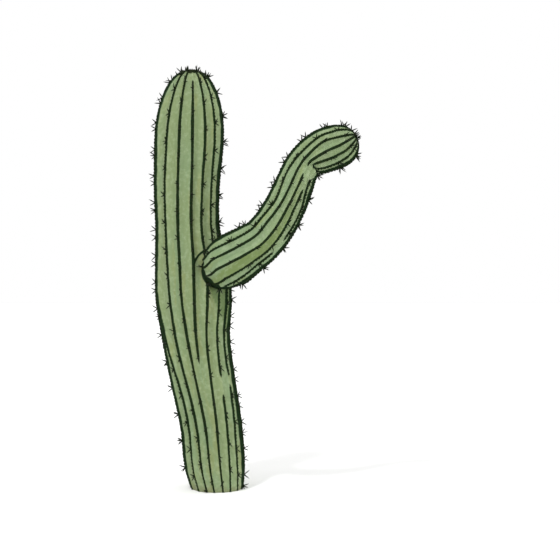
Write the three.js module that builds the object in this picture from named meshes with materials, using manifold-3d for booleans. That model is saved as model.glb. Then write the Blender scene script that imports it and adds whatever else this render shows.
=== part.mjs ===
// A young saguaro cactus: one ribbed column that leans and bends, and one arm
// that swells out of its side, climbs, and folds over to a blunt tip.
// Millimetres, +Z up. The origin is the centre of the flat cut at ground level,
// and the side of the plant that the arm grows from faces -Y.

import * as THREE from "three";
import Module from "manifold-3d";

// The gap between two neighbouring pieces.
const GAP = 0.3;

// The trunk's centre line, as a sideways offset at each height, and the radius
// out to its rib crests. It is narrow at the cut, leans away from the arm's
// side, and swells where the arm leaves it.
const TRUNK_STATIONS = [
  { along: 0, x: 0, radius: 187 },
  { along: 110, x: -14, radius: 210 },
  { along: 430, x: -42, radius: 223 },
  { along: 800, x: -107, radius: 235 },
  { along: 1100, x: -152, radius: 246 },
  { along: 1380, x: -169, radius: 274 },
  { along: 1600, x: -186, radius: 260 },
  { along: 1860, x: -212, radius: 232 },
  { along: 2150, x: -219, radius: 236 },
  { along: 2450, x: -204, radius: 248 },
  { along: 3002, x: -186, radius: 248 },
];
const TRUNK_DOME = 520;

// The arm's centre line and crest radius, from its start inside the trunk, over
// the round swollen base and up the riser, to the fold and the tip.
const ARM_STATIONS = [
  { x: -26, y: -118, z: 1568, radius: 54 },
  { x: 29, y: -203, z: 1572, radius: 139 },
  { x: 101, y: -290, z: 1621, radius: 183 },
  { x: 210, y: -340, z: 1690, radius: 173 },
  { x: 326, y: -335, z: 1771, radius: 155 },
  { x: 414, y: -312, z: 1877, radius: 148 },
  { x: 488, y: -292, z: 2008, radius: 142 },
  { x: 553, y: -270, z: 2163, radius: 133 },
  { x: 590, y: -256, z: 2253, radius: 127 },
  { x: 627, y: -244, z: 2313, radius: 126 },
  { x: 751, y: -222, z: 2395, radius: 153 },
  { x: 862, y: -212, z: 2437, radius: 152 },
  { x: 982, y: -205, z: 2500, radius: 146 },
];
const ARM_DOME = 165;
// Where the arm is divided: at the bend above its base, and at the fold.
const ARM_BEND = 606;
const ARM_FOLD = 1130;

// A dome closes each limb: a superellipse of this power.
const DOME_POWER = 2.2;

// Ribs, as the angle of each crest round its limb, in degrees from the side
// that faces -Y: towards +X on the trunk, and towards the underside on the arm.
// The crests in front are given one by one, and the rest share what is left.
const TRUNK_RIBS = {
  along: [0, 350, 700, 1020, 1350, 1850, 2200, 2500, 3002],
  front: [
    { crest: [-71, -71, -74, -82, -92, -94, -94, -93, -93] },
    { crest: [-40, -42, -43, -58, -69, -70, -69, -69, -69] },
    { crest: [-19, -23, -25, -32, -34, -38, -37, -35, -29] },
    { crest: [-3, -6, -7, -10, -14, -13, -11, -12, -10] },
    { crest: [3, 2, 2, 4, 5, 11, 13, 10, 9], starts: 935 },
    { crest: [16, 14, 18, 21, 25, 30, 33, 32, 27] },
    { crest: [33, 34, 38, 41, 45, 51, 53, 52, 46] },
    { crest: [53, 52, 58, 58, 64, 77, 79, 79, 79] },
    { crest: [77, 77, 78, 79, 83, 101, 103, 103, 103] },
  ],
  behind: [{}, {}, { ends: 750 }, {}, {}, { ends: 1250 }, {}, {}],
};
const ARM_RIBS = {
  along: [0, 150, 300, 400, 620, 770, 1015, 1130, 1280, 1540],
  front: [
    { crest: [-84, -68, -71, -72, -72, -72, -72, -72, -70, -64] },
    { crest: [-52, -47, -41, -38, -42, -34, -37, -31, -38, -37] },
    { crest: [-28, -26, -19, -16, -19, -13, -8, -7, -18, -10] },
    { crest: [-4, -3, 5, 9, 9, 9, 15, 14, 9, 2] },
    { crest: [22, 25, 32, 34, 32, 29, 33, 31, 32, 18] },
    { crest: [36, 42, 51, 49, 52, 54, 45, 54, 56, 33] },
    { crest: [62, 58, 72, 74, 73, 74, 72, 80, 77, 66] },
  ],
  behind: [{}, {}, {}, {}, {}, {}, {}],
};
// A rib that starts or ends on the way up does so over this length.
const RIB_FADE = 160;
// How deep the furrow between two crests is, as a share of their distance, and
// at most. Its section is a power of a sine: broad in the furrow, tight on top.
const FURROW_SHARE = 0.26;
const FURROW_MOST = 26;
const FURROW_POWER = 1.4;
// Towards the start of a limb its furrows grow shallow, over this length, down
// to this share of their depth.
const SHALLOW_LENGTH = 330;
const SHALLOW_SHARE = 0.35;

// How finely the solids are faceted.
const POINTS_PER_RIB = 3;
const TRUNK_STEP = 92;
const ARM_STEP = 44;
const DOME_RINGS = 7;

const SKIN_COLOUR = 0x8a9c72;
const ARM_COLOUR = 0x869870;

const radians = THREE.MathUtils.degToRad;

// Smooth interpolation of values given at rising places: a cubic through each
// one, with the slope there weighted from its two neighbours.
function smooth(places, values, at) {
  const last = places.length - 1;
  let i = 0;
  while (i < last - 1 && at >= places[i + 1]) {
    i += 1;
  }
  const step = (k) => places[k + 1] - places[k];
  const rise = (k) => (values[k + 1] - values[k]) / step(k);
  const slope = (k) => {
    if (k === 0) {
      return rise(0);
    }
    if (k === last) {
      return rise(last - 1);
    }
    return (rise(k - 1) * step(k) + rise(k) * step(k - 1)) / (step(k - 1) + step(k));
  };
  const h = step(i);
  const u = (at - places[i]) / h;
  const v = 1 - u;
  const ends = v * v * (1 + 2 * u) * values[i] + u * u * (3 - 2 * u) * values[i + 1];
  return ends + h * u * v * (v * slope(i) - u * slope(i + 1));
}

// The radius of a limb at a place along it: the stations' own, closed by a dome.
function crestRadius(limb, at) {
  const body = smooth(limb.along, limb.radius, at);
  const t = THREE.MathUtils.clamp((at - limb.length + limb.dome) / limb.dome, 0, 1);
  return body * (1 - t ** DOME_POWER) ** (1 / DOME_POWER);
}

function centre(limb, at) {
  const axis = (name) => smooth(limb.along, limb[name], at);
  return new THREE.Vector3(axis("x"), axis("y"), axis("z"));
}

// The two directions that span a limb's section: towards -Y, and to its side.
function sectionAxes(limb, at) {
  const heading = new THREE.Vector3(0, 0, 1);
  if (!limb.level) {
    const reach = 1;
    heading.subVectors(centre(limb, at + reach), centre(limb, at - reach)).normalize();
  }
  const front = new THREE.Vector3(0, -1, 0);
  front.addScaledVector(heading, -front.dot(heading)).normalize();
  const side = new THREE.Vector3().crossVectors(heading, front);
  return { front, side };
}

// How much of a rib there is at a place: 1 all of it, 0 none.
function presence(rib, at) {
  const fade = (from) => THREE.MathUtils.smoothstep(at, from - RIB_FADE / 2, from + RIB_FADE / 2);
  if (rib.starts !== undefined) {
    return fade(rib.starts);
  }
  return rib.ends === undefined ? 1 : 1 - fade(rib.ends);
}

// Every crest's angle and presence at a place, in order round the limb.
function crests(limb, at) {
  const { along, front, behind } = limb.ribs;
  const found = front.map((rib) => ({
    angle: radians(smooth(along, rib.crest, at)),
    presence: presence(rib, at),
  }));
  // Behind, the crests are evenly spaced at the foot. Further up, those that go
  // on to the top are, and one that has ended lies midway between its neighbours.
  const first = found[found.length - 1].angle;
  const room = found[0].angle + 2 * Math.PI - first;
  const lasting = behind.filter((rib) => rib.ends === undefined).length;
  const climb = THREE.MathUtils.smoothstep(at, 0, limb.length * 0.7);
  let passed = 0;
  behind.forEach((rib, k) => {
    passed += rib.ends === undefined ? 1 : 0.5;
    const low = (k + 1) / (behind.length + 1);
    const high = passed / (lasting + 1);
    found.push({
      angle: first + room * THREE.MathUtils.lerp(low, high, climb),
      presence: presence(rib, at),
    });
    passed += rib.ends === undefined ? 0 : -0.5;
  });
  return found;
}

// How far the skin lies inside the crests at an angle between crests a and b.
function furrow(a, b, angle, radius) {
  const width = b - a;
  const depth = Math.min(FURROW_MOST, FURROW_SHARE * width * radius);
  const u = THREE.MathUtils.clamp((angle - a) / width, 0, 1);
  return depth * Math.sin(Math.PI * u) ** FURROW_POWER;
}

// What share of their full depth the furrows have at a place.
function furrowShare(at) {
  const along = THREE.MathUtils.smoothstep(at, 0, SHALLOW_LENGTH);
  return THREE.MathUtils.lerp(SHALLOW_SHARE, 1, along);
}

// One ring of points round a limb, with its crests and furrows.
function ring(limb, at, grown) {
  const radius = crestRadius(limb, at);
  const middle = centre(limb, at);
  const { front, side } = sectionAxes(limb, at);
  const found = crests(limb, at);
  const count = found.length;
  const angleOf = (k) => {
    const turns = Math.floor(k / count);
    return found[k - turns * count].angle + turns * 2 * Math.PI;
  };
  const points = [];
  for (let k = 0; k < count; k += 1) {
    const here = found[k];
    const next = found[(k + 1) % count];
    for (let j = 0; j < POINTS_PER_RIB; j += 1) {
      const angle = THREE.MathUtils.lerp(angleOf(k), angleOf(k + 1), j / POINTS_PER_RIB);
      let drop = furrow(angleOf(k), angleOf(k + 1), angle, radius);
      if (next.presence < 1) {
        const wide = furrow(angleOf(k), angleOf(k + 2), angle, radius);
        drop = THREE.MathUtils.lerp(wide, drop, next.presence);
      } else if (here.presence < 1) {
        const wide = furrow(angleOf(k - 1), angleOf(k + 1), angle, radius);
        drop = THREE.MathUtils.lerp(wide, drop, here.presence);
      }
      const reach = radius - drop * furrowShare(at) + grown;
      const point = middle.clone();
      point.addScaledVector(front, reach * Math.cos(angle));
      point.addScaledVector(side, reach * Math.sin(angle));
      points.push(point);
    }
  }
  return points;
}

// Places along a limb for its rings: even steps, then closer over the dome.
function ringPlaces(limb, from, to, step) {
  const domeStart = limb.length - limb.dome;
  const straightEnd = Math.min(to, domeStart);
  const steps = Math.max(1, Math.round((straightEnd - from) / step));
  const places = [];
  for (let i = 0; i <= steps; i += 1) {
    places.push(THREE.MathUtils.lerp(from, straightEnd, i / steps));
  }
  if (to > domeStart) {
    for (let i = 1; i < DOME_RINGS; i += 1) {
      places.push(domeStart + limb.dome * Math.sin((Math.PI / 2) * (i / DOME_RINGS)));
    }
  }
  return places;
}

// A flat end ring and its hub, set back along the limb by half a gap.
function setBack(limb, at, points, direction) {
  const { front, side } = sectionAxes(limb, at);
  const heading = new THREE.Vector3().crossVectors(front, side);
  points.forEach((point) => point.addScaledVector(heading, (direction * GAP) / 2));
}

// A closed stretch of a limb: rings joined by quads, with a fan at each end. An
// end where the limb is divided from its neighbour stands back from it.
function stretch(limb, from, to, step, grown = 0) {
  const rings = ringPlaces(limb, from, to, step).map((at) => ring(limb, at, grown));
  const hubs = [centre(limb, from), centre(limb, to)];
  if (from > 0) {
    setBack(limb, from, [...rings[0], hubs[0]], 1);
  }
  if (to < limb.length) {
    setBack(limb, to, [...rings[rings.length - 1], hubs[1]], -1);
  }
  const size = rings[0].length;
  const vertices = rings.flat();
  const startHub = vertices.push(hubs[0]) - 1;
  const endHub = vertices.push(hubs[1]) - 1;
  const index = [];
  for (let i = 0; i < rings.length; i += 1) {
    for (let j = 0; j < size; j += 1) {
      const here = i * size + j;
      const beside = i * size + ((j + 1) % size);
      if (i === 0) {
        index.push(startHub, beside, here);
      }
      if (i === rings.length - 1) {
        index.push(endHub, here, beside);
      } else {
        index.push(here, beside, beside + size, here, beside + size, here + size);
      }
    }
  }
  const geometry = new THREE.BufferGeometry().setFromPoints(vertices);
  geometry.setIndex(index);
  return geometry;
}

const wasm = await Module();
wasm.setup();

function toSolid(geometry) {
  const vertProperties = new Float32Array(geometry.attributes.position.array);
  const triVerts = new Uint32Array(geometry.index.array);
  return new wasm.Manifold(new wasm.Mesh({ numProp: 3, vertProperties, triVerts }));
}

function toGeometry(solid) {
  const mesh = solid.getMesh();
  const geometry = new THREE.BufferGeometry();
  geometry.setAttribute("position", new THREE.BufferAttribute(mesh.vertProperties, 3));
  geometry.setIndex(new THREE.BufferAttribute(mesh.triVerts, 1));
  return geometry;
}

// The distance along a line of stations to each of them.
function distances(stations) {
  const points = stations.map((s) => new THREE.Vector3(s.x, s.y, s.z));
  let run = 0;
  return points.map((point, i) => {
    run += i === 0 ? 0 : point.distanceTo(points[i - 1]);
    return run;
  });
}

const column = (stations, name) => stations.map((s) => s[name]);

const trunkLimb = {
  level: true,
  along: column(TRUNK_STATIONS, "along"),
  x: column(TRUNK_STATIONS, "x"),
  y: TRUNK_STATIONS.map(() => 0),
  z: column(TRUNK_STATIONS, "along"),
  radius: column(TRUNK_STATIONS, "radius"),
  length: TRUNK_STATIONS[TRUNK_STATIONS.length - 1].along,
  dome: TRUNK_DOME,
  ribs: TRUNK_RIBS,
};

const armAlong = distances(ARM_STATIONS);
const armLimb = {
  level: false,
  along: armAlong,
  x: column(ARM_STATIONS, "x"),
  y: column(ARM_STATIONS, "y"),
  z: column(ARM_STATIONS, "z"),
  radius: column(ARM_STATIONS, "radius"),
  length: armAlong[armAlong.length - 1],
  dome: ARM_DOME,
  ribs: ARM_RIBS,
};

function named(name, geometry, colour) {
  geometry.computeVertexNormals();
  const material = new THREE.MeshStandardMaterial({ color: colour, roughness: 0.6, metalness: 0 });
  const mesh = new THREE.Mesh(geometry, material);
  mesh.name = name;
  return mesh;
}

function trunk() {
  return named("trunk", stretch(trunkLimb, 0, trunkLimb.length, TRUNK_STEP), SKIN_COLOUR);
}

// The arm's swollen base, cut to the trunk's ribbed side.
function armBase() {
  const whole = toSolid(stretch(armLimb, 0, ARM_BEND, ARM_STEP));
  const bed = toSolid(stretch(trunkLimb, 0, trunkLimb.length, TRUNK_STEP, GAP));
  return named("arm_base", toGeometry(whole.subtract(bed)), ARM_COLOUR);
}

function armRiser() {
  return named("arm_riser", stretch(armLimb, ARM_BEND, ARM_FOLD, ARM_STEP), ARM_COLOUR);
}

function armTip() {
  return named("arm_tip", stretch(armLimb, ARM_FOLD, armLimb.length, ARM_STEP), ARM_COLOUR);
}

const saguaro = new THREE.Group();
saguaro.name = "saguaro_cactus";
saguaro.add(trunk(), armBase(), armRiser(), armTip());

export default saguaro;
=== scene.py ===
"""The looks of a saguaro cactus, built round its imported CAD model: a ribbed skin for the trunk and for
the arm, rows of felted areoles along the crests, their spines, a woolly cap on each tip, and a plain
studio. Metres, +Z up, in the CAD model's own frame."""

import math

import bpy
import numpy as np
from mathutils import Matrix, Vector
from mathutils.bvhtree import BVHTree


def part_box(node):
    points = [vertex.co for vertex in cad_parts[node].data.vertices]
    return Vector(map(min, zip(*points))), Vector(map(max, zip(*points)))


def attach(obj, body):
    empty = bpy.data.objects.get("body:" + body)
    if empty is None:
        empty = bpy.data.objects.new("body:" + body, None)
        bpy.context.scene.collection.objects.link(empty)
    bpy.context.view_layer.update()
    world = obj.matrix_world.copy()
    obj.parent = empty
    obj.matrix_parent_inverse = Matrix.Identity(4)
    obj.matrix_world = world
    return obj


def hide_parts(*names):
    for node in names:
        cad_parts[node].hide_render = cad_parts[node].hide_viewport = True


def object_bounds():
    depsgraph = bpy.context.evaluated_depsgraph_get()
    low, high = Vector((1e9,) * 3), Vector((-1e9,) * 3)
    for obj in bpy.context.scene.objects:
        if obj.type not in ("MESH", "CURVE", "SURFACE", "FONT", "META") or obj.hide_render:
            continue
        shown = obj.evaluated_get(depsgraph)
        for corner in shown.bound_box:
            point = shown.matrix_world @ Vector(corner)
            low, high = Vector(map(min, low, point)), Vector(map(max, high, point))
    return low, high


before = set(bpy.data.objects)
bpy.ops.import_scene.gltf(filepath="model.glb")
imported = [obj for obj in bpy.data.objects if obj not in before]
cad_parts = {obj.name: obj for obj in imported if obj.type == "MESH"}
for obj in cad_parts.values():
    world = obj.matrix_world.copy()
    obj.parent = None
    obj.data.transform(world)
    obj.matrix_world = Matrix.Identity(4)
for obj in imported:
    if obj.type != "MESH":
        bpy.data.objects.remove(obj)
cad_low, cad_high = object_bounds()

# The limbs' stations are in millimetres, as in the CAD source, for a trunk of this height.
STATED_HEIGHT = 3002
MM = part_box("trunk")[1].z / STATED_HEIGHT
TURN = 2 * math.pi

TRUNK_STATIONS = np.array([
    # along, x, y, z, radius
    (0, 0, 0, 0, 187),
    (110, -14, 0, 110, 210),
    (430, -42, 0, 430, 223),
    (800, -107, 0, 800, 235),
    (1100, -152, 0, 1100, 246),
    (1380, -169, 0, 1380, 274),
    (1600, -186, 0, 1600, 260),
    (1860, -212, 0, 1860, 232),
    (2150, -219, 0, 2150, 236),
    (2450, -204, 0, 2450, 248),
    (3002, -186, 0, 3002, 248),
], float) * MM
ARM_POINTS = np.array([
    # x, y, z, radius
    (-26, -118, 1568, 54),
    (29, -203, 1572, 139),
    (101, -290, 1621, 183),
    (210, -340, 1690, 173),
    (326, -335, 1771, 155),
    (414, -312, 1877, 148),
    (488, -292, 2008, 142),
    (553, -270, 2163, 133),
    (590, -256, 2253, 127),
    (627, -244, 2313, 126),
    (751, -222, 2395, 153),
    (862, -212, 2437, 152),
    (982, -205, 2500, 146),
], float) * MM
ARM_FOLD = 1130 * MM
DOME_POWER = 2.2

# Crest angles in degrees: from -Y towards +X on the trunk, and towards the underside on the arm. The
# strip along a crest is bare over the stretches named.
TRUNK_RIBS = {
    "along": np.array([0, 350, 700, 1020, 1350, 1850, 2200, 2500, 3002]) * MM,
    "front": [
        {"crest": [-71, -71, -74, -82, -92, -94, -94, -93, -93]},
        {"crest": [-40, -42, -43, -58, -69, -70, -69, -69, -69]},
        {"crest": [-19, -23, -25, -32, -34, -38, -37, -35, -29]},
        {"crest": [-3, -6, -7, -10, -14, -13, -11, -12, -10]},
        {"crest": [3, 2, 2, 4, 5, 11, 13, 10, 9], "starts": 935 * MM, "bare": [(2920 * MM, 2984 * MM)]},
        {"crest": [16, 14, 18, 21, 25, 30, 33, 32, 27]},
        {"crest": [33, 34, 38, 41, 45, 51, 53, 52, 46], "bare": [(707 * MM, 797 * MM)]},
        {"crest": [53, 52, 58, 58, 64, 77, 79, 79, 79], "bare": [(774 * MM, 802 * MM)]},
        {"crest": [77, 77, 78, 79, 83, 101, 103, 103, 103]},
    ],
    "behind": [{}, {}, {"ends": 750 * MM}, {}, {}, {"ends": 1250 * MM}, {}, {}],
}
ARM_RIBS = {
    "along": np.array([0, 150, 300, 400, 620, 770, 1015, 1130, 1280, 1540]) * MM,
    "front": [
        {"crest": [-84, -68, -71, -72, -72, -72, -72, -72, -70, -64]},
        {"crest": [-52, -47, -41, -38, -42, -34, -37, -31, -38, -37]},
        {"crest": [-28, -26, -19, -16, -19, -13, -8, -7, -18, -10]},
        {"crest": [-4, -3, 5, 9, 9, 9, 15, 14, 9, 2], "bare": [(0, 120 * MM), (1042 * MM, 1072 * MM)]},
        {"crest": [22, 25, 32, 34, 32, 29, 33, 31, 32, 18], "bare": [(942 * MM, 1110 * MM)]},
        {"crest": [36, 42, 51, 49, 52, 54, 45, 54, 56, 33],
         "bare": [(0, 145 * MM), (515 * MM, 560 * MM), (1030 * MM, 1092 * MM)]},
        {"crest": [62, 58, 72, 74, 73, 74, 72, 80, 77, 66]},
    ],
    "behind": [{} for _ in range(7)],
}
# How far a rib takes to come or go, and how deep the furrows between the ribs are.
RIB_FADE = 160 * MM
FURROW_SHARE = 0.26
FURROW_MOST = 26 * MM
FURROW_POWER = 1.4
SHALLOW_LENGTH = 330 * MM
SHALLOW_SHARE = 0.35
# From this share of a limb's length on, its ribs behind are evenly spaced again where one has ended.
EVEN_FROM = 0.7

# The skin's mesh: columns between two crests, gathered towards them, and the distance between rings.
COLUMNS_PER_RIB = 12
GATHER = 0.11
TRUNK_RING_STEP = 0.0074
ARM_RING_STEP = 0.0066
PROFILE_PLACES = 20001

# Relief that the CAD solids leave out: a bead along each crest that swells at the areoles, an uneven
# skin, and faint bands round the limb. It dies away over these radii, where the ribs run together.
BEAD_HEIGHT = 0.0030
BEAD_HALF_WIDTH = 0.0085
TUBERCLE_HEIGHT = 0.0022
TUBERCLE_BREADTH = 2.2
UNEVEN = 0.0030
UNEVEN_LENGTHS = (0.34, 0.12)
TRUNK_UNEVEN_SEED = 3
ARM_UNEVEN_SEED = 5
BAND_LENGTH = 0.115
BAND_HEIGHT = 0.0010
RELIEF_RADII = (0.012, 0.085)

# The dark strip along each crest. It tapers at the ends of a bare stretch, is slender towards the
# trunk's foot and tip, and is broad on the flanks: from and to these crest angles, in degrees.
STRIP_HALF_WIDTH = 0.0146
STRIP_UNEVEN = 0.14
STRIP_TAPER = (-0.012, 0.062)
FOOT_THINNING, FOOT_LENGTH = 0.36, 0.55
TIP_THINNING, TIP_LENGTH = 0.30, 0.42
ARM_STRIP_BREADTH = 0.93
TRUNK_FLANK_BREADTH = 2.05
ARM_FLANK_BREADTH = 1.45
FLANK_FROM = (58, 70)
FLANK_TO = (104, 112)

# How much deeper the skin's green is in the furrows, and how strongly the arm's shadow is painted
# on the trunk: within this band of distances from the arm's skin, by an arm no further off than
# the reach.
FURROW_GREEN = 0.12
ARM_SHADOW_PAINT = 0.68
SHADE_BAND = (0.002, 0.20)
SHADE_REACH = 0.5

# The crease where the arm leaves the trunk, with shade painted along it: the half width of that
# painted shade on the trunk, which doubles over a height below the named place, the crease's depth,
# the lip beside it, and the two edges of its painted shade on the arm's own skin.
CREASE_INNER = 0.003
CREASE_OUTER = 0.014
CREASE_DOUBLES_BELOW = 1660 * MM
CREASE_DOUBLES_OVER = 0.16
CREASE_DEPTH = 0.005
LIP_HEIGHT = 0.006
LIP_PLACE = 0.034
LIP_WIDTH = 0.020
ARM_CREASE = (0.028, 0.048)

# A short fold on the trunk beside the arm's base, from one crest up to the arm: the place along the
# trunk and the angle of each end.
FOLD_START = (1598 * MM, math.radians(8))
FOLD_END = (1700 * MM, math.radians(28))
FOLD_BEND = 1.6
FOLD_HALF_WIDTH = 0.015
FOLD_HEIGHT = 0.006
FOLD_DARK = 0.9

# The fold under the arm's upper bend, at the angle where it is deepest, and how dark the shade
# painted into it is.
PINCH_WIDTH = 0.020
PINCH_DEPTH = 0.020
PINCH_ANGLE = math.radians(95)
PINCH_DARK = 0.75

# The collar of painted shade round the arm's root lies where the skin faces sideways: no further
# forward than this, with a bit more on its low side, and no further back. It runs further along the
# arm underneath.
COLLAR_FORWARD = 0.20
COLLAR_MORE_FORWARD = 0.17
COLLAR_SOFTNESS = 0.07
COLLAR_BACK = (0.05, 0.20)
COLLAR_LOW_SIDE = (-0.66, -0.75)
COLLAR_LENGTH = 0.10
COLLAR_MORE_LENGTH = 0.10
COLLAR_FADE = 0.12

# Areoles: the distance between two, how much closer they stand over the newest growth, and their size
# across, along and out.
AREOLE_STEP = 0.024
AREOLE_CLOSER = 0.45
NEWEST_GROWTH = (0.03, 0.45)
AREOLE_HALF = (0.0072, 0.0098, 0.0046)
AREOLE_SIDES = 8
ROW_PLACES_STEP = 0.002

# Stout spines stand in forks on every few areoles, with a shorter one to a side. Angles in degrees.
STOUT_EVERY = 8
STOUT_LENGTH = (0.036, 0.050)
STOUT_THICK = 0.0090
STOUT_SIDES = 5
STOUT_FROM_TIP = 0.05
PAIR_SHARE = 0.8
FORK_SPREAD = (24, 40)
FORK_TILT = (-8, 14)
FORK_SWAY = (-16, 16)
SIDE_LENGTH = (0.018, 0.026)
SIDE_THICK = 0.0070
SIDE_TURN = (52, 70)
SIDE_RISE = (-40, 40)

# Fine spines lie spread round every areole.
FINE_PER_AREOLE = 11
FINE_LENGTH = (0.004, 0.008)
FINE_THICK = 0.0016
FINE_RISE = (4, 24)

# The felt cap on each tip, and the spines that stand in it.
TRUNK_CAP_RADIUS = 0.096
ARM_CAP_RADIUS = 0.046
CAP_THICK = 0.005
CAP_SEED = 7
CAP_STOUT_LENGTH = (0.030, 0.042)
CAP_FINE_LENGTH = (0.006, 0.014)
CAP_FINE_THICK = 0.0019
CAP_LEAN = 55

# How far spines may reach past the CAD model's box, in x, y and z, and how low above the ground.
REACH_PAST_CAD = (0.045, 0.026, 0.050)
LOWEST_POINT = 0.002

# The studio's main light, given as a direction from the plant.
KEY_LIGHT = (-0.30, -0.52, 0.88)

rng = np.random.default_rng(20)


# ---- limbs

def smooth(places, values, at):
    """A cubic through values given at rising places, as in the CAD source."""
    places, values, at = (np.asarray(x, float) for x in (places, values, at))
    step = np.diff(places)
    rise = np.diff(values) / step
    slope = np.empty(len(places))
    slope[0], slope[-1] = rise[0], rise[-1]
    slope[1:-1] = (rise[:-1] * step[1:] + rise[1:] * step[:-1]) / (step[:-1] + step[1:])
    i = np.clip(np.searchsorted(places, at, side="right") - 1, 0, len(places) - 2)
    h = step[i]
    u = (at - places[i]) / h
    v = 1 - u
    ends = v * v * (1 + 2 * u) * values[i] + u * u * (3 - 2 * u) * values[i + 1]
    return ends + h * u * v * (v * slope[i] - u * slope[i + 1])


def smoothstep(x, low, high):
    """A soft step from 0 at low to 1 at high."""
    t = np.clip((x - low) / (high - low), 0, 1)
    return t * t * (3 - 2 * t)


def make_limb(stations, dome, ribs, level):
    """A limb: its stations and ribs, its dome's height, and whether its sections lie level."""
    return dict(along=stations[:, 0], points=stations[:, 1:4], radius=stations[:, 4],
                length=stations[-1, 0], dome=dome, ribs=ribs, level=level)


def arm_stations():
    """The arm's points, each after its distance along the limb."""
    hops = np.linalg.norm(np.diff(ARM_POINTS[:, :3], axis=0), axis=1)
    along = np.concatenate([[0], np.cumsum(hops)])
    return np.column_stack([along, ARM_POINTS])


TRUNK = make_limb(TRUNK_STATIONS, 520 * MM, TRUNK_RIBS, True)
ARM = make_limb(arm_stations(), 165 * MM, ARM_RIBS, False)


def centre(limb, at):
    """The middle of a limb's section at each place."""
    return np.stack([smooth(limb["along"], limb["points"][:, k], at) for k in range(3)], axis=-1)


def pole_of(limb):
    """The end of a limb's centre line, where its skin closes."""
    return centre(limb, np.array([limb["length"]]))[0]


def crest_radius(limb, at):
    """How far a limb's crests are from its middle at each place: none at the pole of its dome."""
    t = np.clip((at - limb["length"] + limb["dome"]) / limb["dome"], 0, 1)
    return smooth(limb["along"], limb["radius"], at) * (1 - t ** DOME_POWER) ** (1 / DOME_POWER)


def unit(v):
    """Vectors of the same heading, 1 long."""
    return v / np.maximum(np.linalg.norm(v, axis=-1, keepdims=True), 1e-12)


def section_axes(limb, at):
    """The heading of a limb at each place, and the two directions that span its section."""
    heading = np.zeros((*at.shape, 3))
    heading[..., 2] = 1
    if not limb["level"]:
        heading = unit(centre(limb, at + MM) - centre(limb, at - MM))
    front = np.array([0.0, -1.0, 0.0]) + heading[..., 1:2] * heading
    front = unit(front)
    return heading, front, np.cross(heading, front)


def presence(rib, at):
    """How much of a rib there is at each place: it may start or end on the way."""
    half = RIB_FADE / 2
    if "starts" in rib:
        return smoothstep(at, rib["starts"] - half, rib["starts"] + half)
    if "ends" in rib:
        return 1 - smoothstep(at, rib["ends"] - half, rib["ends"] + half)
    return np.ones_like(at)


def crests(limb, at):
    """Every crest's angle in radians and the share of it there is, each as an array of place by rib."""
    ribs = limb["ribs"]
    angles = [np.radians(smooth(ribs["along"], rib["crest"], at)) for rib in ribs["front"]]
    first = angles[-1]
    room = angles[0] + TURN - first
    lasting = sum("ends" not in rib for rib in ribs["behind"])
    climb = smoothstep(at, 0, limb["length"] * EVEN_FROM)
    passed = 0
    for k, rib in enumerate(ribs["behind"]):
        goes_on = "ends" not in rib
        low = (k + 1) / (len(ribs["behind"]) + 1)
        high = (passed + (1 if goes_on else 0.5)) / (lasting + 1)
        passed += goes_on
        angles.append(first + room * (low + (high - low) * climb))
    share = [presence(rib, at) for rib in ribs["front"] + ribs["behind"]]
    return np.stack(angles, axis=-1), np.stack(share, axis=-1)


def furrow(a, b, angle, radius):
    """How far the skin lies inside the crests, between crests at angles a and b."""
    width = b - a
    depth = np.minimum(FURROW_MOST, FURROW_SHARE * width * radius)
    u = np.clip((angle - a) / width, 0, 1)
    return depth * np.sin(math.pi * u) ** FURROW_POWER


def furrow_share(at):
    """What share of their full depth the furrows have at each place."""
    return SHALLOW_SHARE + (1 - SHALLOW_SHARE) * smoothstep(at, 0, SHALLOW_LENGTH)


def cover(limb, at):
    """How much of each rib's strip there is at each place: none where the rib or its strip is missing."""
    shares = []
    for rib in limb["ribs"]["front"] + limb["ribs"]["behind"]:
        share = presence(rib, at)
        for low, high in rib.get("bare", []):
            outside = np.maximum(low - at, at - high)
            share = share * smoothstep(outside, *STRIP_TAPER)
        shares.append(share)
    return np.stack(shares, axis=-1)


def on_flank(angle):
    """How far a crest lies on one of a limb's two flanks, from 0 to 1."""
    turned = np.degrees(np.abs((angle + math.pi) % TURN - math.pi))
    return smoothstep(turned, *FLANK_FROM) * (1 - smoothstep(turned, *FLANK_TO))


def strip_half_width(limb, at, flank):
    """Half the width of the dark strip along a crest, place by column."""
    if limb is ARM:
        return STRIP_HALF_WIDTH * (ARM_STRIP_BREADTH * (1 - flank) + ARM_FLANK_BREADTH * flank)
    foot = 1 - FOOT_THINNING * (1 - smoothstep(at, 0, FOOT_LENGTH))
    tip = 1 - TIP_THINNING * smoothstep(at, limb["length"] - TIP_LENGTH, limb["length"])
    return STRIP_HALF_WIDTH * ((foot * tip)[:, None] * (1 - flank) + TRUNK_FLANK_BREADTH * flank)


def even_places(limb, step):
    """Places along a limb, from its start to its pole, evenly spaced over its surface."""
    fine = limb["length"] * (1 - (1 - np.linspace(0, 1, PROFILE_PLACES)) ** 2)
    profile = crest_radius(limb, fine)
    run = np.concatenate([[0], np.cumsum(np.hypot(np.diff(fine), np.diff(profile)))])
    count = int(run[-1] / step)
    return np.interp(np.linspace(0, run[-1], count + 1), run, fine)


def dome_places(limb, spread):
    """The places on a limb's dome where its crests are as far from the centre line as spread says."""
    fine = np.linspace(limb["length"] - limb["dome"], limb["length"], 4000)
    return np.interp(-spread, -crest_radius(limb, fine), fine)


def place_on(limb, at, angle, reach):
    """Points at a distance from a limb's centre line, place by column."""
    _, front, side = section_axes(limb, at)
    out = np.cos(angle)[..., None] * front[:, None] + np.sin(angle)[..., None] * side[:, None]
    return centre(limb, at)[:, None] + reach[..., None] * out


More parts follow.
